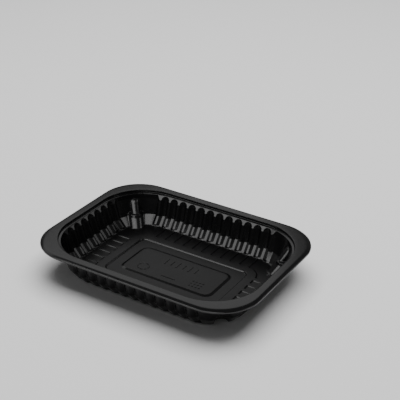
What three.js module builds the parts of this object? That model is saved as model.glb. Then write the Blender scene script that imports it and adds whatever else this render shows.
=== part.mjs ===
// Thermoformed sealable food tray: one thin sheet of black plastic with a wide flat
// sealing flange and a turned-down border, ribbed and drafted walls, a round column in
// each corner and a stepped floor. Millimetres, +Z up, the tray rests on z = 0.
import * as THREE from 'three';

// ---- driving dimensions ---------------------------------------------------------
const LENGTH = 190;            // over the flange's turned-down border, along X
const WIDTH = 143;             // the same along Y
const HEIGHT = 29.3;           // flange top above the table
const SHEET = 0.6;             // wall thickness

const PITCH = 8.9;             // spacing of the ribs round the walls
const LONG_RIBS = 13;          // ribs on each long wall
const SHORT_RIBS = 8;          // ribs on each short wall
const RIB_FOOT = 3.3;          // half width of a rib where it leaves the wall
const RIB_CREST = 0.8;         // half width of a rib's flat crest
const RIB_TOP_OUT = 1.7;       // how far a rib stands out of the wall at its top
const RIB_LOW_OUT = 2.1;       // and where the wall breaks inwards
const RIB_END_OUT = 1.8;       // where it drops to its foot
const RIB_FOOT_OUT = 0.15;     // and at the floor
const RIB_FOOT_RISE = 0.4;     // height there of the rib that runs on as a floor bar
const RIB_END = 2;             // height above the floor at which a rib drops to its foot
const BAR_FOOT = 2.35;         // half width of a floor bar at its foot
const BAR_CREST = 1.7;         // and of its flat top

const COLUMN_PLANE = 24;       // the columns' middle planes lie at x - y = 24 in each corner
const CORNER_STEPS = 3;        // stations between an end rib and the column

// heights of the upper skin: the tray stands on the moat round the middle panel
const Z_MOAT = SHEET;
const Z_CHANNEL = SHEET + 0.7;
const Z_PLATFORM = SHEET + 1.4;
const Z_PANEL = SHEET + 0.8;

// rounded rectangles of the upper skin: length, width, corner radius, height
const lip = { l: LENGTH, w: WIDTH, r: 34.4, z: HEIGHT - 2.2 };
const borderEdge = { l: LENGTH - 0.3, w: WIDTH - 0.3, r: 34.3, z: HEIGHT - 1.15 };
const flangeEdge = { l: LENGTH - 4, w: WIDTH - 4, r: 33, z: HEIGHT };
const mouth = { l: 173.8, w: 126.8, r: 40, z: HEIGHT };
const dropFoot = { l: 173.2, w: 126.2, r: 39.7, z: HEIGHT - 2.2 };
const ledge = { l: 169.6, w: 122.6, r: 38.4, z: HEIGHT - 2.5 };
const ribStart = { l: 168.3, w: 121.8, r: 37.7, z: HEIGHT - 6.1 };
const wallBreak = { l: 159.6, w: 115.2, r: 33, z: HEIGHT - 20.3 };
const foot = { l: 147, w: 103.2, r: 27, z: Z_CHANNEL };
const columnNeck = between(ribStart, wallBreak, HEIGHT - 17.3);
const columnRim = between(ribStart, wallBreak, HEIGHT - 18.2);
const ribEnd = between(wallBreak, foot, Z_CHANNEL + RIB_END);
const stepFoot = { l: 118, w: 72.2, r: 13, z: Z_CHANNEL };
const stepEdge = { l: 116.4, w: 70.6, r: 12.2, z: Z_PLATFORM };
const frameEdge = { l: 101.2, w: 56.4, r: 5.4, z: Z_PLATFORM };
const frameFoot = { l: 100.2, w: 55.4, r: 5, z: Z_MOAT };
const panelFoot = { l: 84, w: 39.2, r: 7, z: Z_MOAT };
const panelEdge = { l: 79.6, w: 34.8, r: 5, z: Z_PANEL };

// the section of a straight wall at a height between two of its levels
function between(upper, lower, z) {
  const t = (upper.z - z) / (upper.z - lower.z);
  const mix = (a, b) => a + (b - a) * t;
  return { l: mix(upper.l, lower.l), w: mix(upper.w, lower.w), r: mix(upper.r, lower.r), z };
}

// ---- stations round one quarter of the tray, from mid long wall to mid short wall --
// kind x: fixed x on the long side; kind y: fixed y on the short side; kind c: in the
// corner, at a fraction q of the way from the end rib to the column, or on the column
const COLUMN_STATIONS = [-1, -0.8, -0.45, 0, 0.45, 0.8, 1];
const LAST_LONG = (LONG_RIBS - 1) / 2;
const LAST_SHORT = (SHORT_RIBS - 1) / 2;
const LAST_X = LAST_LONG * PITCH + RIB_FOOT;
const LAST_Y = LAST_SHORT * PITCH + RIB_FOOT;

function ribStations(kind, first, last) {
  const list = [];
  for (let k = first; k <= last; k++) {
    for (const side of [-RIB_FOOT, -RIB_CREST, RIB_CREST, RIB_FOOT]) {
      if (k * PITCH + side <= 0) continue;
      const crest = Math.abs(side) < RIB_FOOT;
      const bar = Math.sign(side) * (crest ? BAR_CREST : BAR_FOOT);
      list.push({ kind, c: k * PITCH, side, bar, crest, end: k === last });
    }
  }
  return list;
}

function cornerStations() {
  const list = [];
  for (let i = 1; i <= CORNER_STEPS; i++) {
    list.push({ kind: 'c', long: true, q: i / (CORNER_STEPS + 1) });
  }
  for (const t of COLUMN_STATIONS) list.push({ kind: 'c', t });
  for (let i = CORNER_STEPS; i >= 1; i--) {
    list.push({ kind: 'c', long: false, q: i / (CORNER_STEPS + 1) });
  }
  return list;
}

const QUARTER = [
  ...ribStations('x', 0, LAST_LONG),
  ...cornerStations(),
  ...ribStations('y', 0.5, LAST_SHORT).reverse(),
];

// point and inward direction on a rounded rectangle's first quadrant
function onSide(shape, kind, at) {
  const cx = shape.l / 2 - shape.r;
  const cy = shape.w / 2 - shape.r;
  let angle;
  if (kind === 'x') {
    if (at <= cx) return { x: at, y: shape.w / 2, nx: 0, ny: -1 };
    angle = Math.acos(Math.min(1, (at - cx) / shape.r));
  } else if (kind === 'y') {
    if (at <= cy) return { x: shape.l / 2, y: at, nx: -1, ny: 0 };
    angle = Math.asin(Math.min(1, (at - cy) / shape.r));
  } else {
    angle = at;
  }
  const c = Math.cos(angle);
  const s = Math.sin(angle);
  return { x: cx + shape.r * c, y: cy + shape.r * s, nx: -c, ny: -s, angle };
}

function sideAngle(shape, kind, at) {
  const p = onSide(shape, kind, at);
  return p.angle === undefined ? (kind === 'x' ? Math.PI / 2 : 0) : p.angle;
}

// the angle on a corner's arc at a distance from the column's middle plane
function cornerAngle(shape, across) {
  const aside = COLUMN_PLANE + across * Math.SQRT2 - (shape.l - shape.w) / 2;
  return Math.acos(aside * Math.SQRT1_2 / shape.r) - Math.PI / 4;
}

// a point of the corner column, which is half an ellipse standing on the corner's arc:
// t runs from -1 to 1 across it, halfWidth and standOut are its size at this height
function columnPoint(shape, t, column) {
  const wall = onSide(shape, 'c', cornerAngle(shape, t * column.halfWidth));
  const inward = Math.sqrt(1 - t * t) * column.standOut * Math.SQRT1_2;
  return [wall.x - inward, wall.y - inward, shape.z];
}

// one ring of stations on the wall: ribAt(station) gives a rib's stand-out, height and
// distance from its middle, column = { halfWidth, standOut } at this height
function wallRing(shape, ribAt, column) {
  const quarter = QUARTER.map((s) => {
    if (s.kind === 'c') {
      if (s.t !== undefined) return columnPoint(shape, s.t, column);
      const rib = s.long ? sideAngle(shape, 'x', LAST_X) : sideAngle(shape, 'y', LAST_Y);
      const edge = cornerAngle(shape, (s.long ? -1 : 1) * column.halfWidth);
      const p = onSide(shape, 'c', rib + (edge - rib) * s.q);
      return [p.x, p.y, shape.z];
    }
    const r = ribAt(s);
    const p = onSide(shape, s.kind, s.c + (r.at ?? s.side));
    return [p.x + p.nx * r.out, p.y + p.ny * r.out, r.z ?? shape.z];
  });
  return mirrorQuarter(quarter);
}

// one ring round the platform: bars at barHeight, and the stations of the end ribs and
// of the corner share out the arc beyond the last bars
function platformRing(shape, barHeight) {
  const from = sideAngle(shape, 'x', (LAST_LONG - 1) * PITCH + BAR_FOOT);
  const to = sideAngle(shape, 'y', (LAST_SHORT - 1) * PITCH + BAR_FOOT);
  const free = QUARTER.filter((s) => s.kind === 'c' || s.end);
  const quarter = QUARTER.map((s) => {
    const i = free.indexOf(s);
    if (i >= 0) {
      const p = onSide(shape, 'c', from + (to - from) * (i + 1) / (free.length + 1));
      return [p.x, p.y, shape.z];
    }
    const p = onSide(shape, s.kind, s.c + s.bar);
    return [p.x, p.y, s.crest ? barHeight : shape.z];
  });
  return mirrorQuarter(quarter);
}

// first quadrant -> whole ring, running anticlockwise seen from above
function mirrorQuarter(q) {
  const back = [...q].reverse();
  const ring = [];
  for (const p of back) ring.push([p[0], p[1], p[2]]);
  for (const p of q) ring.push([-p[0], p[1], p[2]]);
  for (const p of back) ring.push([-p[0], -p[1], p[2]]);
  for (const p of q) ring.push([p[0], -p[1], p[2]]);
  return ring;
}

// plain ring: straight sides with few points, arcs with many
function plainRing(shape, arcSteps, longSteps, shortSteps) {
  const quarter = [];
  const cx = shape.l / 2 - shape.r;
  const cy = shape.w / 2 - shape.r;
  for (let i = 0; i < longSteps; i++) quarter.push([cx * (i + 0.5) / longSteps, shape.w / 2, shape.z]);
  for (let i = 0; i <= arcSteps; i++) {
    const a = Math.PI / 2 * (1 - i / arcSteps);
    quarter.push([cx + shape.r * Math.cos(a), cy + shape.r * Math.sin(a), shape.z]);
  }
  for (let i = shortSteps - 1; i >= 0; i--) {
    quarter.push([shape.l / 2, cy * (i + 0.5) / shortSteps, shape.z]);
  }
  return mirrorQuarter(quarter);
}

// ---- upper skin, ring by ring from the lip to the middle of the floor -------------
function upperRings() {
  const rings = [];
  for (const s of [lip, borderEdge, flangeEdge, mouth, dropFoot]) {
    rings.push(plainRing(s, 12, 1, 1));
  }
  // the ribs start just under the ledge, in sloping facets that narrow downwards
  const noColumn = { halfWidth: 3, standOut: 0 };
  rings.push(wallRing(ledge, () => ({ out: 0 }), noColumn));
  const ribRing = (shape, out, column) => {
    rings.push(wallRing(shape, (s) => ({ out: s.crest ? out : 0 }), column));
  };
  ribRing(ribStart, RIB_TOP_OUT, noColumn);
  ribRing(columnNeck, RIB_LOW_OUT, { halfWidth: 4.2, standOut: 5.3 });
  ribRing(columnRim, RIB_LOW_OUT, { halfWidth: 6.3, standOut: 6.3 });
  ribRing(wallBreak, RIB_LOW_OUT, { halfWidth: 6.5, standOut: 6.5 });
  ribRing(ribEnd, RIB_END_OUT, { halfWidth: 6.3, standOut: 6.3 });
  // at the foot the end ribs stop on the corner flats, the others run on as floor bars
  rings.push(wallRing(foot, (s) => {
    const out = s.crest ? RIB_FOOT_OUT : 0;
    if (s.end) return { out };
    return { out, z: Z_CHANNEL + (s.crest ? RIB_FOOT_RISE : 0), at: s.bar };
  }, { halfWidth: 6.2, standOut: 6.2 }));
  rings.push(platformRing(stepFoot, Z_PLATFORM));
  rings.push(platformRing(stepEdge, Z_PLATFORM));
  for (const s of [frameEdge, frameFoot, panelFoot, panelEdge]) rings.push(plainRing(s, 5, 2, 1));
  return rings;
}

// ---- stitching ------------------------------------------------------------------
// joins two closed rings of any point count by walking both round the centre
function stitch(faces, ringA, offA, ringB, offB) {
  const na = ringA.length;
  const nb = ringB.length;
  if (na === nb) {
    for (let i = 0; i < na; i++) {
      const j = (i + 1) % na;
      const a0 = ringA[i];
      const a1 = ringA[j];
      const b0 = ringB[i];
      const b1 = ringB[j];
      const d1 = dist(a0, b1);
      const d2 = dist(a1, b0);
      if (d1 < d2) {
        faces.push([offA + i, offA + j, offB + j], [offA + i, offB + j, offB + i]);
      } else {
        faces.push([offA + i, offA + j, offB + i], [offA + j, offB + j, offB + i]);
      }
    }
    return;
  }
  const turn = (ring, k) => {
    const n = ring.length;
    return ringParam(ring)[k % n] + Math.floor(k / n);
  };
  let i = 0;
  let j = 0;
  while (i < na || j < nb) {
    const ta = i < na ? turn(ringA, i + 1) : Infinity;
    const tb = j < nb ? turn(ringB, j + 1) : Infinity;
    if (ta <= tb) {
      faces.push([offA + i % na, offA + (i + 1) % na, offB + j % nb]);
      i++;
    } else {
      faces.push([offA + i % na, offB + (j + 1) % nb, offB + j % nb]);
      j++;
    }
  }
}

const paramCache = new Map();
function ringParam(ring) {
  if (paramCache.has(ring)) return paramCache.get(ring);
  const a = ring.map((p) => Math.atan2(p[1] * LENGTH / WIDTH, p[0]) / (2 * Math.PI));
  const out = a.map((v) => v - a[0] + (v < a[0] ? 1 : 0));
  out[0] = 0;
  paramCache.set(ring, out);
  return out;
}

function dist(p, q) {
  return Math.hypot(p[0] - q[0], p[1] - q[1], p[2] - q[2]);
}

// vertex normals of the upper skin, weighted by corner angle
function skinNormals(points, faces) {
  const normals = points.map(() => new THREE.Vector3());
  const v = points.map((p) => new THREE.Vector3(...p));
  for (const f of faces) {
    const n = new THREE.Vector3().subVectors(v[f[1]], v[f[0]])
      .cross(new THREE.Vector3().subVectors(v[f[2]], v[f[0]]));
    if (n.length() < 1e-9) continue;
    n.normalize();
    for (let k = 0; k < 3; k++) {
      const a = new THREE.Vector3().subVectors(v[f[(k + 1) % 3]], v[f[k]]);
      const b = new THREE.Vector3().subVectors(v[f[(k + 2) % 3]], v[f[k]]);
      normals[f[k]].addScaledVector(n, a.angleTo(b));
    }
  }
  return normals.map((n) => n.normalize());
}

function buildTray() {
  const rings = upperRings();
  const points = [];
  const offsets = [];
  for (const r of rings) {
    offsets.push(points.length);
    points.push(...r);
  }
  const upper = [];
  for (let k = 0; k + 1 < rings.length; k++) {
    stitch(upper, rings[k], offsets[k], rings[k + 1], offsets[k + 1]);
  }
  const centre = points.length;
  points.push([0, 0, Z_PANEL]);
  const last = rings.length - 1;
  const n = rings[last].length;
  for (let i = 0; i < n; i++) {
    upper.push([offsets[last] + i, offsets[last] + (i + 1) % n, centre]);
  }
  // lower skin: the same net moved through the sheet
  const normals = skinNormals(points, upper);
  const count = points.length;
  for (let i = 0; i < count; i++) {
    const p = points[i];
    const m = normals[i];
    if (i < rings[0].length) {
      points.push([p[0], p[1], p[2] - SHEET]);
      continue;
    }
    // the moat is flat underneath and stands on the table
    const z = p[2] <= Z_MOAT ? 0 : p[2] - m.z * SHEET;
    points.push([p[0] - m.x * SHEET, p[1] - m.y * SHEET, z]);
  }
  const lower = upper.map((f) => [f[0] + count, f[2] + count, f[1] + count]);
  const rim = [];
  const m = rings[0].length;
  for (let i = 0; i < m; i++) {
    const j = (i + 1) % m;
    rim.push([i, i + count, j + count], [i, j + count, j]);
  }
  const all = [...upper, ...lower, ...rim];
  const position = new Float32Array(all.length * 9);
  let k = 0;
  for (const f of all) for (const i of f) for (const c of points[i]) position[k++] = c;
  const geometry = new THREE.BufferGeometry();
  geometry.setAttribute('position', new THREE.BufferAttribute(position, 3));
  geometry.computeVertexNormals();
  return geometry;
}

const blackPlastic = new THREE.MeshStandardMaterial({
  color: 0x17181a,
  roughness: 0.42,
  metalness: 0,
});

const root = new THREE.Group();
root.name = 'sealable_food_tray';
const tray = new THREE.Mesh(buildTray(), blackPlastic);
tray.name = 'tray';
root.add(tray);

export default root;
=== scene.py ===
import math

import bpy
import numpy as np
from mathutils import Matrix, Vector


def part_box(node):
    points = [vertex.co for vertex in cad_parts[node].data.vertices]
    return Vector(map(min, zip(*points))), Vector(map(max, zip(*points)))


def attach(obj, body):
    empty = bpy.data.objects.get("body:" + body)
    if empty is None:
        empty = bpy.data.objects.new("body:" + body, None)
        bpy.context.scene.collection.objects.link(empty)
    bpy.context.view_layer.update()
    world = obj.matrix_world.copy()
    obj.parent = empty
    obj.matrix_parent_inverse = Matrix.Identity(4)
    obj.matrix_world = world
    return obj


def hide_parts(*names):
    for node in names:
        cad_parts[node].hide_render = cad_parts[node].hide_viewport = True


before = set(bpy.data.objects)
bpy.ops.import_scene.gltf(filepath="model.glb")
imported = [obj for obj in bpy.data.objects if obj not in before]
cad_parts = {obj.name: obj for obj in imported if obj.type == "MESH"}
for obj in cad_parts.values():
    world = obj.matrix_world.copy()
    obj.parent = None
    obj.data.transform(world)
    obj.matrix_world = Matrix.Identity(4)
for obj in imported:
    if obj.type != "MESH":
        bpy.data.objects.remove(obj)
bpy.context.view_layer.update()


# ---- The section of the tray ------------------------------------------------------------
# The tray is one heated sheet of black plastic drawn over a mould. Its section runs from the
# turned-down lip, over the sealing flange, down the drafted wall and across the stepped
# floor. Each level is a rounded rectangle: length, width, corner radius, height, in mm.

MM = 0.001
tray_low, tray_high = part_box("tray")
LENGTH = (tray_high[0] - tray_low[0]) / MM
WIDTH = (tray_high[1] - tray_low[1]) / MM
RIM = tray_high[2] / MM
SHEET = 0.6
MOAT = SHEET
CHANNEL = SHEET + 0.7
PLATFORM = SHEET + 1.4
PANEL = SHEET + 0.8


def level(length, width, radius, height, bend=0.0, stops=()):
    """bend is how far the corner is rounded, stops are rows at shares of the way to the next."""
    return {"shape": np.array([length, width, radius, height]), "bend": bend, "stops": stops}


def down_to(top, bottom, depths):
    """Shares of the way from one height to a lower one at which rows lie so deep under the rim."""
    return [(top - (RIM - depth)) / (top - bottom) for depth in depths]


LEDGE_Z = RIM - 2.5
RIB_START_Z = RIM - 6.1
BREAK_Z = RIM - 20.3
ARCH_TOP_DEPTH = 2.95
ARCH_HEIGHT = 2.8
ARCH_ROWS = 8
arch_rows = [ARCH_TOP_DEPTH - 0.06]
arch_rows += [ARCH_TOP_DEPTH + ARCH_HEIGHT * (i / ARCH_ROWS) ** 2 for i in range(ARCH_ROWS)]
column_rows = [6.5, 6.7, 7.1, 7.7, 8.6, 9.8, 11.4, 13.4, 15.4, 17.1, 17.35, 17.75, 18.15, 18.5]

lip = level(LENGTH, WIDTH, 34.4, RIM - 2.2)
border_edge = level(LENGTH - 0.3, WIDTH - 0.3, 34.3, RIM - 1.15, 0.3)
flange_edge = level(LENGTH - 4.0, WIDTH - 4.0, 33.0, RIM, 0.9, (0.33, 0.67))
mouth = level(173.8, 126.8, 40.0, RIM - 0.05, 0.3)
drop_foot = level(173.2, 126.2, 39.7, RIM - 2.2, 0.2)
ledge = level(169.6, 122.6, 38.4, LEDGE_Z, 0.3, down_to(LEDGE_Z, RIB_START_Z, arch_rows))
rib_start = level(168.3, 121.8, 37.7, RIB_START_Z, 0.0, down_to(RIB_START_Z, BREAK_Z, column_rows))
wall_break = level(159.6, 115.2, 33.0, BREAK_Z, 0.5, (0.25, 0.5, 0.75))
rib_end = level(150.3, 106.3, 28.6, CHANNEL + 2.0, 0.3)
wall_foot = level(147.0, 103.2, 27.0, CHANNEL, 1.0, (0.35, 0.7))
step_foot = level(118.0, 72.2, 13.0, CHANNEL, 0.4)
step_edge = level(116.4, 70.6, 12.2, PLATFORM, 0.4)
frame_edge = level(101.2, 56.4, 5.4, PLATFORM, 0.6)
frame_foot = level(100.2, 55.4, 5.0, MOAT + 0.1, 0.6)
panel_foot = level(84.0, 39.2, 7.0, MOAT, 0.4)
panel_edge = level(79.6, 34.8, 5.0, PANEL, 0.4, (0.5,))
panel_middle = level(60.0, 15.2, 2.0, PANEL)

wall_section = [
    lip, border_edge, flange_edge, mouth, drop_foot, ledge, rib_start, wall_break, rib_end,
    wall_foot, step_foot, step_edge, frame_edge, frame_foot, panel_foot, panel_edge, panel_middle,
]
BEND_POINTS = 4
MOST_BEND = 0.42


def section_run(levels):
    """The section as a row of many levels with its corners rounded, and where each ends."""
    shapes = [lv["shape"] for lv in levels]
    last = len(levels) - 1
    run = [shapes[0]]
    ends = [0]
    for k in range(1, last + 1):
        before, here, bend = shapes[k - 1], shapes[k], levels[k]["bend"]
        run += [before + (here - before) * share for share in levels[k - 1]["stops"]]
        if bend and k < last:
            arrive = here + (before - here) * bend_share(before, here, bend)
            leave = here + (shapes[k + 1] - here) * bend_share(here, shapes[k + 1], bend)
            for t in np.linspace(0.0, 1.0, BEND_POINTS):
                run.append((1 - t) ** 2 * arrive + 2 * t * (1 - t) * here + t ** 2 * leave)
        else:
            run.append(here)
        ends.append(len(run) - 1)
    return np.array(run), ends


def bend_share(a, b, bend):
    """The share of the way from one level to the next that a bend takes up."""
    reach = math.hypot((a[1] - b[1]) / 2, a[3] - b[3])
    return min(MOST_BEND, bend / reach)


# ---- The ribs and the floor bars --------------------------------------------------------
# Upright ribs stiffen the walls. The recesses between them end in round arches under the
# ledge, and each rib runs on over the floor as a bar up to the platform. The end rib of
# each row stops on the flat in the corner.

# The spacing of the ribs, and how many spacings the end rib is from the middle of its side.
PITCH = 8.9
LAST_LONG = 6.0
LAST_SHORT = 3.5
# How far a rib stands out of the wall: at its top, at the wall's break, where it drops to
# its foot, and at the floor, where it also stands a little above the channel.
RIB_TOP_OUT = 1.7
RIB_LOW_OUT = 2.1
RIB_END_OUT = 1.8
RIB_FOOT_OUT = 0.15
RIB_FOOT_RISE = 0.4
# Half widths of a rib and of a floor bar, on top and at the foot, and the ribs' roundings.
CREST_HALF = 0.8
RIB_HALF = 3.3
BAR_CREST = 1.7
BAR_HALF = 2.35
CREST_ROUND = 0.2
FOOT_ROUND = 0.25
# A bar runs this far into the platform's side, and a rib becomes a bar over these rows.
BAR_INTO_STEP = 0.6
BAR_ROWS = 3
# The arches' top. Where they are narrowest, a recess and an end rib's free side keep these
# shares of their width.
ARCH_TOP = RIM - ARCH_TOP_DEPTH
ARCH_LEAST = 0.05
FREE_SIDE_LEAST = 0.1


def moved(lv, inward, height=None):
    """The same level, shifted into the tray, and to another height if one is given."""
    shape = lv["shape"] - np.array([2 * inward, 2 * inward, inward, 0.0])
    if height is not None:
        shape[3] = height
    return {"shape": shape, "bend": lv["bend"], "stops": lv["stops"]}


def with_levels(changes):
    """The wall's section with some of its levels changed."""
    return [changes.get(k, lv) for k, lv in enumerate(wall_section)]


AT_RIB, AT_BREAK, AT_END, AT_FOOT, AT_STEP = 6, 7, 8, 9, 10
on_the_wall = {
    AT_RIB: moved(rib_start, RIB_TOP_OUT),
    AT_BREAK: moved(wall_break, RIB_LOW_OUT),
    AT_END: moved(rib_end, RIB_END_OUT),
}
rib_section = with_levels(on_the_wall | {
    AT_FOOT: moved(wall_foot, RIB_FOOT_OUT, CHANNEL + RIB_FOOT_RISE),
    AT_STEP: moved(step_foot, BAR_INTO_STEP, PLATFORM),
})
end_rib_section = with_levels(on_the_wall | {AT_FOOT: moved(wall_foot, RIB_FOOT_OUT)})
WALL, LEVEL_ENDS = section_run(wall_section)
RIB = section_run(rib_section)[0]
END_RIB = section_run(end_rib_section)[0]
HEIGHTS = WALL[:, 3:4]

half_rib = [
    CREST_HALF - CREST_ROUND, CREST_HALF, CREST_HALF + CREST_ROUND,
    RIB_HALF - FOOT_ROUND, RIB_HALF, RIB_HALF + FOOT_ROUND,
]


def stations(first, last):
    """Rib middles and signed distances from them, from the middle of a side outwards."""
    pairs = []
    for middle in np.arange(first, last + 0.1):
        inner = [] if middle == 0 else [-p for p in half_rib[::-1]]
        pairs += [(middle * PITCH, p) for p in inner + half_rib]
    return np.array(pairs).T


def in_end_rib(middle, last):
    """Which stations belong to the last rib of their side."""
    return middle > (last - 0.5) * PITCH


def rib_profile(away):
    """A flat crest and straight sides, with the two corners rounded."""
    def side(p):
        return np.clip((RIB_HALF - p) / (RIB_HALF - CREST_HALF), 0.0, 1.0)
    away = np.abs(away)
    corner = np.where(away < 2 * CREST_HALF, CREST_ROUND, FOOT_ROUND)
    return 0.25 * side(away - corner) + 0.5 * side(away) + 0.25 * side(away + corner)


def recess_opening():
    """How wide the recesses are at each height: nothing at the arch's top, then all."""
    t = np.clip((ARCH_TOP - HEIGHTS) / ARCH_HEIGHT, 0.0, 1.0)
    arch = np.maximum(np.sqrt(1 - (1 - t) ** 2), ARCH_LEAST)
    above = np.clip((HEIGHTS - ARCH_TOP) / (LEDGE_Z - ARCH_TOP), ARCH_LEAST, 1.0)
    return np.where(HEIGHTS > ARCH_TOP, above, arch)


def as_bar(p, crest=BAR_CREST, foot=BAR_HALF):
    """The distance of a rib's station from its middle once the rib has these half widths."""
    between = crest + (p - CREST_HALF) / (RIB_HALF - CREST_HALF) * (foot - crest)
    beyond = foot + (p - RIB_HALF) / (PITCH / 2 - RIB_HALF) * (PITCH / 2 - foot)
    return np.where(p < CREST_HALF, p / CREST_HALF * crest, np.where(p < RIB_HALF, between, beyond))


def rib_places(middle, away, last):
    """Where each station lies along its side, row by row."""
    p = np.abs(away)[None, :]
    opening = recess_opening()
    row = np.arange(len(WALL))[:, None]
    on_floor = np.clip((row - LEVEL_ENDS[AT_FOOT] + BAR_ROWS) / BAR_ROWS, 0.0, 1.0)
    crest_half = CREST_HALF + (BAR_CREST - CREST_HALF) * on_floor
    rib_half = RIB_HALF + (BAR_HALF - RIB_HALF) * on_floor
    crest_open = PITCH / 2 - (PITCH / 2 - crest_half) * opening
    foot_open = PITCH / 2 - (PITCH / 2 - rib_half) * opening
    inner = as_bar(p, crest_open, foot_open)
    narrow = np.clip((LEDGE_Z - HEIGHTS) / (LEDGE_Z - RIB_START_Z), FREE_SIDE_LEAST, 1.0)
    narrow = np.where(HEIGHTS < LEDGE_Z, narrow, 1.0)
    end_crest = RIB_HALF + (CREST_HALF - RIB_HALF) * narrow
    end_between = end_crest + (p - CREST_HALF) / (RIB_HALF - CREST_HALF) * (RIB_HALF - end_crest)
    outer = np.where(p < CREST_HALF, p / CREST_HALF * end_crest, np.where(p < RIB_HALF, end_between, p))
    free_side = in_end_rib(middle, last) & (away > 0)
    return middle + np.sign(away) * np.where(free_side, outer, inner)


def rib_weight(middle, away, last):
    """How much of a rib stands at each station; above the arches the face is all rib."""
    free_side = in_end_rib(middle, last) & (away > 0)
    whole = (HEIGHTS > ARCH_TOP + 0.01) & ~free_side[None, :]
    return np.where(whole, 1.0, rib_profile(away)[None, :])


# ---- The corner columns -----------------------------------------------------------------
# A round column leans out of each corner's wall. It is slim above, steps out to a wider
# round at a rim below half height and ends in a half circle on the corner flat.

# A column's middle plane lies where x - y has this value. Its radius and how far its front
# stands out of the wall are given at depths under the rim, and so is its least half width.
COLUMN_PLANE = 24.0
DIAGONAL = math.sqrt(0.5)
column_depths = [0.0, 6.5, 8.0, 11.0, 17.3, 18.2, 20.3, RIM - CHANNEL]
column_radius = [4.2, 4.2, 4.2, 4.2, 4.2, 6.3, 6.5, 6.2]
column_front = [0.0, 0.0, 1.5, 2.6, 5.3, 6.3, 6.5, 6.2]
least_depths = [2.5, 6.5]
least_half = [6.0, 0.8]
column_turn = np.linspace(-1.0, 1.0, 17)
to_column = np.arange(1, 6) / 6


def column_size():
    """The column's radius, its front, its half angle and its half width, row by row."""
    depth = RIM - HEIGHTS
    radius = np.interp(depth, column_depths, column_radius)
    front = np.interp(depth, column_depths, column_front)
    half = np.arccos(np.clip((radius - front) / radius, 0.0, 1.0))
    least = np.interp(depth, least_depths, least_half)
    return radius, front, half, np.maximum(radius * np.sin(half), least)


def corner_angle(run, across):
    """The angle on the corner's arc at a distance from the column's middle plane."""
    aside = COLUMN_PLANE + across / DIAGONAL - (run[:, 0:1] - run[:, 1:2]) / 2
    return np.arccos(aside * DIAGONAL / run[:, 2:3]) - math.pi / 4


def column_points():
    """The column's own part of each row, from the long side to the short side."""
    radius, front, half, edge = column_size()
    turn = column_turn[None, :] * half
    segment = radius * np.cos(turn) - (radius - front)
    deep = front * np.cos(turn)
    inward = np.maximum(np.where(front < radius, segment, deep), 0.0)
    across = np.where(front > 0, np.sin(turn) / np.maximum(np.sin(half), 0.001), column_turn) * edge
    x, y = round_corner(WALL, corner_angle(WALL, across))
    return x - inward * DIAGONAL, y - inward * DIAGONAL


def round_corner(run, angle):
    """Points on the corner's arc at an angle from the long side's direction."""
    x = run[:, 0:1] / 2 - run[:, 2:3] + run[:, 2:3] * np.cos(angle)
    y = run[:, 1:2] / 2 - run[:, 2:3] + run[:, 2:3] * np.sin(angle)
    return x, y


# ---- One quarter of the skin ------------------------------------------------------------
# The tray is the same in all four quarters. Stations are set out from the middle of the
# long wall, round the corner with its column, to the middle of the short wall, and each
# one is followed down the whole section.

long_middle, long_away = stations(0, LAST_LONG)
short_middle, short_away = (row[::-1] for row in stations(0.5, LAST_SHORT))


def along_side(run, at, long_side):
    """Points at given places along a straight side, and round the corner's arc past it."""
    half_l, half_w, radius = run[:, 0:1] / 2, run[:, 1:2] / 2, run[:, 2:3]
    straight = (half_l if long_side else half_w) - radius
    past = np.clip((at - straight) / radius, 0.0, 1.0)
    other = (half_w if long_side else half_l) - radius + radius * np.sqrt(1 - past ** 2)
    place = np.broadcast_to(at, other.shape)
    return (place, other) if long_side else (other, place)


def end_angle(run, at, long_side):
    """The angle on the corner's arc at a place measured along one of its sides."""
    straight = (run[:, 0] if long_side else run[:, 1]) / 2 - run[:, 2]
    past = np.clip((at - straight) / run[:, 2], 0.0, 1.0)
    return np.arccos(past) if long_side else np.arcsin(past)


def ribbed_side(middle, away, last, long_side):
    """One side's wall, pushed inwards to the ribs' section by each station's share of a rib."""
    at = rib_places(middle, away, last)
    x, y = along_side(WALL, at, long_side)
    z = np.broadcast_to(HEIGHTS, x.shape)
    is_last = in_end_rib(middle, last)
    weight = rib_weight(middle, away, last)
    for run, chosen in ((RIB, ~is_last), (END_RIB, is_last)):
        rx, ry = along_side(run, at, long_side)
        share = weight * chosen[None, :]
        x = x + (rx - x) * share
        y = y + (ry - y) * share
        z = z + (run[:, 3:4] - z) * share
    return x, y, z


def corner_side(fraction, long_side):
    """From the end rib to the column's edge, evenly."""
    edge_at = column_size()[3] * (-1 if long_side else 1)
    edge = corner_angle(WALL, edge_at)
    limit = (LAST_LONG if long_side else LAST_SHORT) * PITCH + RIB_HALF + FOOT_ROUND
    start = end_angle(WALL, limit, long_side)[:, None]
    x, y = round_corner(WALL, start + (edge - start) * fraction[None, :])
    return x, y, np.broadcast_to(HEIGHTS, x.shape)


def walls_quarter():
    """Every level's stations in turn: long side, corner, column, corner, short side."""
    column_x, column_y = column_points()
    parts = [
        ribbed_side(long_middle, long_away, LAST_LONG, True),
        corner_side(to_column, True),
        (column_x, column_y, np.broadcast_to(HEIGHTS, column_x.shape)),
        corner_side(to_column[::-1], False),
        ribbed_side(short_middle, short_away, LAST_SHORT, False),
    ]
    return [np.concatenate([p[i] for p in parts], axis=1) for i in range(3)]


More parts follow.
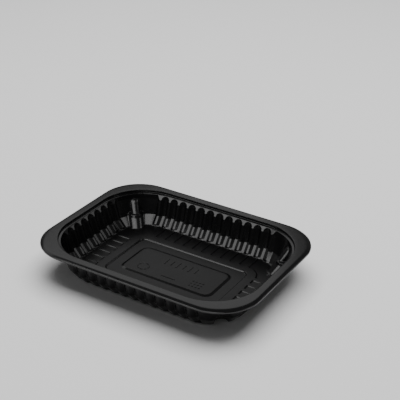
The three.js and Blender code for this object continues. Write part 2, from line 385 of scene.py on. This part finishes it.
def platform_angles(run):
    """Where each station meets the platform's edge: a place on a side, or an angle."""
    bars_long = ~in_end_rib(long_middle, LAST_LONG)
    bars_short = ~in_end_rib(short_middle, LAST_SHORT)
    long_at = (long_middle + np.sign(long_away) * as_bar(np.abs(long_away)))[bars_long]
    short_at = (short_middle + np.sign(short_away) * as_bar(np.abs(short_away)))[bars_short]
    angle_long = end_angle(run, long_at[-1], True)[0]
    angle_short = end_angle(run, short_at[0], False)[0]
    free = (~bars_long).sum() + 2 * len(to_column) + len(column_turn) + (~bars_short).sum()
    shared = np.linspace(angle_long, angle_short, free + 2)[1:-1]
    straight_l, straight_w = run[0, 0] / 2 - run[0, 2], run[0, 1] / 2 - run[0, 2]
    past_long = np.clip((long_at - straight_l) / run[0, 2], 0, 1)
    past_short = np.clip((short_at - straight_w) / run[0, 2], 0, 1)
    angles = np.concatenate([np.arccos(past_long), shared, np.arcsin(past_short)])
    share_l = np.minimum(long_at / straight_l, 1.0)
    share_w = np.minimum(short_at / straight_w, 1.0)
    share_x = np.concatenate([share_l, np.ones(free + share_w.size)])
    share_y = np.concatenate([np.ones(share_l.size + free), share_w])
    return angles, share_x, share_y


def floor_quarter(run):
    """The platform and what lies inside it, in rings of like shape."""
    angles, share_x, share_y = platform_angles(run[:1])
    straight_l = run[:, 0:1] / 2 - run[:, 2:3]
    straight_w = run[:, 1:2] / 2 - run[:, 2:3]
    x = straight_l * share_x + run[:, 2:3] * np.cos(angles)
    y = straight_w * share_y + run[:, 2:3] * np.sin(angles)
    return x, y


def quarter_skin():
    """The walls and the platform, joined by straight runs over the channel between them."""
    x, y, z = walls_quarter()
    foot = LEVEL_ENDS[AT_FOOT]
    step = LEVEL_ENDS[AT_STEP] - BEND_POINTS + 1
    floor_x, floor_y = floor_quarter(WALL[step:])
    x = np.concatenate([x[:step], floor_x])
    y = np.concatenate([y[:step], floor_y])
    for k in range(foot + 1, step):
        share = (k - foot) / (step - foot)
        x[k] = x[foot] + (x[step] - x[foot]) * share
        y[k] = y[foot] + (y[step] - y[foot]) * share
    return x, y, z


def whole_skin():
    """Mirrors the quarter into closed rings, anticlockwise, one ring for each level."""
    x, y, z = quarter_skin()
    back = slice(None, None, -1)
    ring_x = np.concatenate([x[:, back], -x, -x[:, back], x], axis=1)
    ring_y = np.concatenate([y[:, back], y, -y[:, back], -y], axis=1)
    ring_z = np.concatenate([z[:, back], z, z[:, back], z], axis=1)
    return np.stack([ring_x, ring_y, ring_z], axis=2)


# ---- The tray's mesh --------------------------------------------------------------------
# The skin is one net of rings closed by a face in the middle of the panel. The sheet's own
# thickness is laid on its under side.

def net_faces(levels, count):
    """Four-sided faces between neighbouring rings, and one face inside the last ring."""
    faces = []
    for k in range(levels - 1):
        for i in range(count):
            j = (i + 1) % count
            faces.append((k * count + i, k * count + j, (k + 1) * count + j, (k + 1) * count + i))
    faces.append(tuple((levels - 1) * count + i for i in range(count)))
    return faces


skin = whole_skin()
tray_mesh = bpy.data.meshes.new("formed_sheet")
tray_mesh.from_pydata(
    (skin.reshape(-1, 3) * MM).tolist(), [], net_faces(skin.shape[0], skin.shape[1]))
tray_mesh.shade_smooth()
tray = bpy.data.objects.new("formed_tray", tray_mesh)
bpy.context.scene.collection.objects.link(tray)
thickness = tray.modifiers.new("sheet", "SOLIDIFY")
thickness.thickness = SHEET * MM
thickness.offset = -1.0
thickness.use_rim = True
even = tray.modifiers.new("flat faces stay flat", "WEIGHTED_NORMAL")
even.keep_sharp = False


# ---- The black plastic ------------------------------------------------------------------
# Satin black polypropylene: almost no colour of its own, a soft gloss a little uneven from
# the drawing of the sheet, and a very fine roll texture. The level faces of the floor,
# which cooled last on the mould, are duller than the walls and the flange.

PLASTIC_INDEX = 1.49
CLOUD_SCALE = 45.0
CLOUD_DETAIL = 3.0
DARKER_BLACK = (0.0016, 0.0016, 0.0018, 1.0)
LIGHTER_BLACK = (0.0034, 0.0034, 0.0036, 1.0)
# Roughness of the walls and flange, and what the floor's level faces have on top of it.
GLOSSIEST, DULLEST = 0.17, 0.22
FLOOR_DULLER = 0.2
FLOOR_FADE = 0.3
# How upright a face's direction is when it starts to count as level, and when it fully does.
NEARLY_LEVEL, FULLY_LEVEL = 0.96, 0.99
GRAIN_SCALE = 2600.0
GRAIN_DETAIL = 2.0
GRAIN_STRENGTH = 0.04
GRAIN_HEIGHT = 0.0001


def black_plastic():
    """Plastic whose gloss depends on height and slope, so that the floor alone is dull."""
    material = bpy.data.materials.new("satin black plastic")
    material.use_nodes = True
    nodes, links = material.node_tree.nodes, material.node_tree.links
    surface = nodes["Principled BSDF"]
    surface.inputs["IOR"].default_value = PLASTIC_INDEX
    place = nodes.new("ShaderNodeTexCoord")
    cloud = nodes.new("ShaderNodeTexNoise")
    cloud.inputs["Scale"].default_value = CLOUD_SCALE
    cloud.inputs["Detail"].default_value = CLOUD_DETAIL
    links.new(place.outputs["Object"], cloud.inputs["Vector"])
    tint = nodes.new("ShaderNodeValToRGB")
    tint.color_ramp.elements[0].color = DARKER_BLACK
    tint.color_ramp.elements[1].color = LIGHTER_BLACK
    links.new(cloud.outputs["Fac"], tint.inputs["Fac"])
    links.new(tint.outputs["Color"], surface.inputs["Base Color"])
    gloss = nodes.new("ShaderNodeMapRange")
    gloss.inputs["To Min"].default_value = GLOSSIEST
    gloss.inputs["To Max"].default_value = DULLEST
    links.new(cloud.outputs["Fac"], gloss.inputs["Value"])
    apart = nodes.new("ShaderNodeSeparateXYZ")
    links.new(place.outputs["Object"], apart.inputs["Vector"])
    dull = nodes.new("ShaderNodeMapRange")
    dull.inputs["From Min"].default_value = (PLATFORM + FLOOR_FADE) * MM
    dull.inputs["From Max"].default_value = PLATFORM * MM
    dull.inputs["To Max"].default_value = FLOOR_DULLER
    links.new(apart.outputs["Z"], dull.inputs["Value"])
    facing = nodes.new("ShaderNodeNewGeometry")
    upward = nodes.new("ShaderNodeSeparateXYZ")
    links.new(facing.outputs["Normal"], upward.inputs["Vector"])
    flat = nodes.new("ShaderNodeMapRange")
    flat.inputs["From Min"].default_value = NEARLY_LEVEL
    flat.inputs["From Max"].default_value = FULLY_LEVEL
    links.new(upward.outputs["Z"], flat.inputs["Value"])
    both = nodes.new("ShaderNodeMath")
    both.operation = "MULTIPLY_ADD"
    links.new(dull.outputs["Result"], both.inputs[0])
    links.new(flat.outputs["Result"], both.inputs[1])
    links.new(gloss.outputs["Result"], both.inputs[2])
    links.new(both.outputs["Value"], surface.inputs["Roughness"])
    grain = nodes.new("ShaderNodeTexNoise")
    grain.inputs["Scale"].default_value = GRAIN_SCALE
    grain.inputs["Detail"].default_value = GRAIN_DETAIL
    links.new(place.outputs["Object"], grain.inputs["Vector"])
    relief = nodes.new("ShaderNodeBump")
    relief.inputs["Strength"].default_value = GRAIN_STRENGTH
    relief.inputs["Distance"].default_value = GRAIN_HEIGHT
    links.new(grain.outputs["Fac"], relief.inputs["Height"])
    links.new(relief.outputs["Normal"], surface.inputs["Normal"])
    return material


plastic = black_plastic()
tray_mesh.materials.append(plastic)
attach(tray, "root")
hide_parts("tray")


# ---- The panel's raised marks -----------------------------------------------------------
# Low plain marks formed in the middle panel with the sheet: a row of bars, a ring of short
# strokes, a field of dots and one long stroke. Each is a small block with sloping sides.

MARK_HEIGHT = 0.3
MARK_SLOPE = 0.18
MARK_ROOT = 0.05
BARS = 6
BAR_STEP = 5.6
SHORT_BAR, LONG_BAR = 6.4, 8.0
STROKES = 9
RING_RADIUS = 4.6
RING_X, RING_Y = -25.0, -8.4
DOTS_ACROSS, DOTS_UP = 4, 3
DOT_STEP_X, DOT_STEP_Y = 3.0, 3.4
DOT_X, DOT_Y = 20.0, -12.2
DOT = 1.3
mark_points = []
mark_faces = []


def raised_mark(x, y, length, width, turn=0.0):
    """One block on the panel, its length along x unless it is turned."""
    first = len(mark_points)
    c, s = math.cos(turn), math.sin(turn)
    for height, shrink in ((-MARK_ROOT, 0.0), (MARK_HEIGHT, MARK_SLOPE)):
        for a, b in ((-1, -1), (1, -1), (1, 1), (-1, 1)):
            u, v = a * (length / 2 - shrink), b * (width / 2 - shrink)
            mark_points.append(
                ((x + u * c - v * s) * MM, (y + u * s + v * c) * MM, (PANEL + height) * MM))
    mark_faces.extend([(first + i, first + (i + 1) % 4, first + 4 + (i + 1) % 4, first + 4 + i)
                       for i in range(4)])
    mark_faces.append(tuple(first + 4 + i for i in range(4)))
    mark_faces.append(tuple(first + 3 - i for i in range(4)))


for k in range(BARS):
    raised_mark(-13.5 + BAR_STEP * k, 7.6, 1.3, SHORT_BAR if k % 2 else LONG_BAR)
for k in range(STROKES):
    around = 2 * math.pi * k / STROKES
    raised_mark(
        RING_X + RING_RADIUS * math.cos(around), RING_Y + RING_RADIUS * math.sin(around),
        0.9, 2.2, around)
for k in range(DOTS_ACROSS * DOTS_UP):
    raised_mark(
        DOT_X + DOT_STEP_X * (k % DOTS_ACROSS), DOT_Y + DOT_STEP_Y * (k // DOTS_ACROSS), DOT, DOT)
raised_mark(0.5, -12.0, 13.0, 1.0)
mark_mesh = bpy.data.meshes.new("raised_marks")
mark_mesh.from_pydata(mark_points, [], mark_faces)
mark_mesh.materials.append(plastic)
marks = bpy.data.objects.new("raised_marks", mark_mesh)
bpy.context.scene.collection.objects.link(marks)
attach(marks, "root")


# ---- The studio -------------------------------------------------------------------------
# A plain pale table in a dim room. A wide softbox in front and a wide one behind on the left
# light the tray, with four small ones for its sloping faces; the table has its own light.

HALF_TABLE = 3.0
TABLE_COLOUR = (0.85, 0.85, 0.85, 1.0)
TABLE_ROUGHNESS = 0.9
TABLE_SHEEN = 0.1
ROOM_COLOUR = (1.0, 1.0, 1.0, 1.0)
ROOM_LIGHT = 0.15

floor_mesh = bpy.data.meshes.new("table_top")
floor_mesh.from_pydata(
    [(x * HALF_TABLE, y * HALF_TABLE, 0.0) for x, y in ((-1, -1), (1, -1), (1, 1), (-1, 1))],
    [], [(0, 1, 2, 3)])
floor = bpy.data.objects.new("table", floor_mesh)
bpy.context.scene.collection.objects.link(floor)
floor_paint = bpy.data.materials.new("pale table")
floor_paint.use_nodes = True
floor_surface = floor_paint.node_tree.nodes["Principled BSDF"]
floor_surface.inputs["Base Color"].default_value = TABLE_COLOUR
floor_surface.inputs["Roughness"].default_value = TABLE_ROUGHNESS
floor_surface.inputs["Specular IOR Level"].default_value = TABLE_SHEEN
floor_mesh.materials.append(floor_paint)

world = bpy.data.worlds.new("dim room")
bpy.context.scene.world = world
world.use_nodes = True
room = world.node_tree.nodes["Background"]
room.inputs["Color"].default_value = ROOM_COLOUR
room.inputs["Strength"].default_value = ROOM_LIGHT


def lit_by(name, pieces):
    """A group for the lamps that are to light these pieces alone."""
    group = bpy.data.collections.new(name)
    for piece in pieces:
        group.objects.link(piece)
    return group


def softbox(name, turn, height, away, size, brightness, lights):
    """A rectangle of even light that faces the tray; turn and height in degrees."""
    turn, height = math.radians(turn), math.radians(height)
    direction = Vector((
        math.cos(turn) * math.cos(height), math.sin(turn) * math.cos(height), math.sin(height)))
    lamp = bpy.data.lights.new(name, "AREA")
    lamp.shape = "RECTANGLE"
    lamp.size, lamp.size_y = size
    lamp.energy = math.pi * size[0] * size[1] * brightness
    holder = bpy.data.objects.new(name, lamp)
    holder.location = direction * away
    holder.rotation_euler = direction.to_track_quat("Z", "Y").to_euler()
    holder.light_linking.receiver_collection = lights
    bpy.context.scene.collection.objects.link(holder)


tray_only = lit_by("lit tray", [tray, marks])
table_only = lit_by("lit table", [floor])
softbox("front softbox", -98.0, 29.0, 1.2, (1.64, 0.76), 3.0, tray_only)
softbox("high front softbox", -66.0, 52.0, 1.2, (0.66, 0.40), 3.2, tray_only)
softbox("left top softbox", -134.0, 50.5, 1.2, (0.56, 0.25), 2.8, tray_only)
softbox("right softbox", 18.0, 38.0, 1.2, (0.34, 0.34), 2.4, tray_only)
softbox("low back softbox", 52.0, 21.0, 1.2, (0.34, 0.30), 1.25, tray_only)
softbox("back softbox", 154.0, 42.0, 1.2, (1.7, 0.48), 0.76, tray_only)
softbox("table light", 90.0, 80.0, 1.4, (1.5, 1.5), 4.6, table_only)


# ---- The camera -------------------------------------------------------------------------
# It looks down on the tray from the front right with a long lens. The tray sits left of
# and below the middle of the view, and the camera is turned by a hair.

VIEW_TURN = math.radians(30.96)
VIEW_HEIGHT = math.radians(27.80)
VIEW_ROLL = math.radians(1.27)
VIEW_DISTANCE = 0.7782
VIEW_RIGHT, VIEW_UP = -0.0187, -0.0311
FILM = 36.0
LENS_PER_FILM = 2.5

back = Vector((
    math.sin(VIEW_TURN) * math.cos(VIEW_HEIGHT),
    -math.cos(VIEW_TURN) * math.cos(VIEW_HEIGHT),
    math.sin(VIEW_HEIGHT),
))
level_right = Vector((math.cos(VIEW_TURN), math.sin(VIEW_TURN), 0.0))
level_up = back.cross(level_right)
right = math.cos(VIEW_ROLL) * level_right + math.sin(VIEW_ROLL) * level_up
up = math.cos(VIEW_ROLL) * level_up - math.sin(VIEW_ROLL) * level_right
rim_middle = Vector((0.0, 0.0, RIM * MM))
stand = rim_middle - right * VIEW_RIGHT - up * VIEW_UP + back * VIEW_DISTANCE

camera_data = bpy.data.cameras.new("camera")
camera_data.sensor_width = FILM
camera_data.lens = FILM * LENS_PER_FILM
camera = bpy.data.objects.new("camera", camera_data)
axes = Matrix((right, up, back)).transposed()
camera.matrix_world = Matrix.Translation(stand) @ axes.to_4x4()
bpy.context.scene.collection.objects.link(camera)
bpy.context.scene.camera = camera
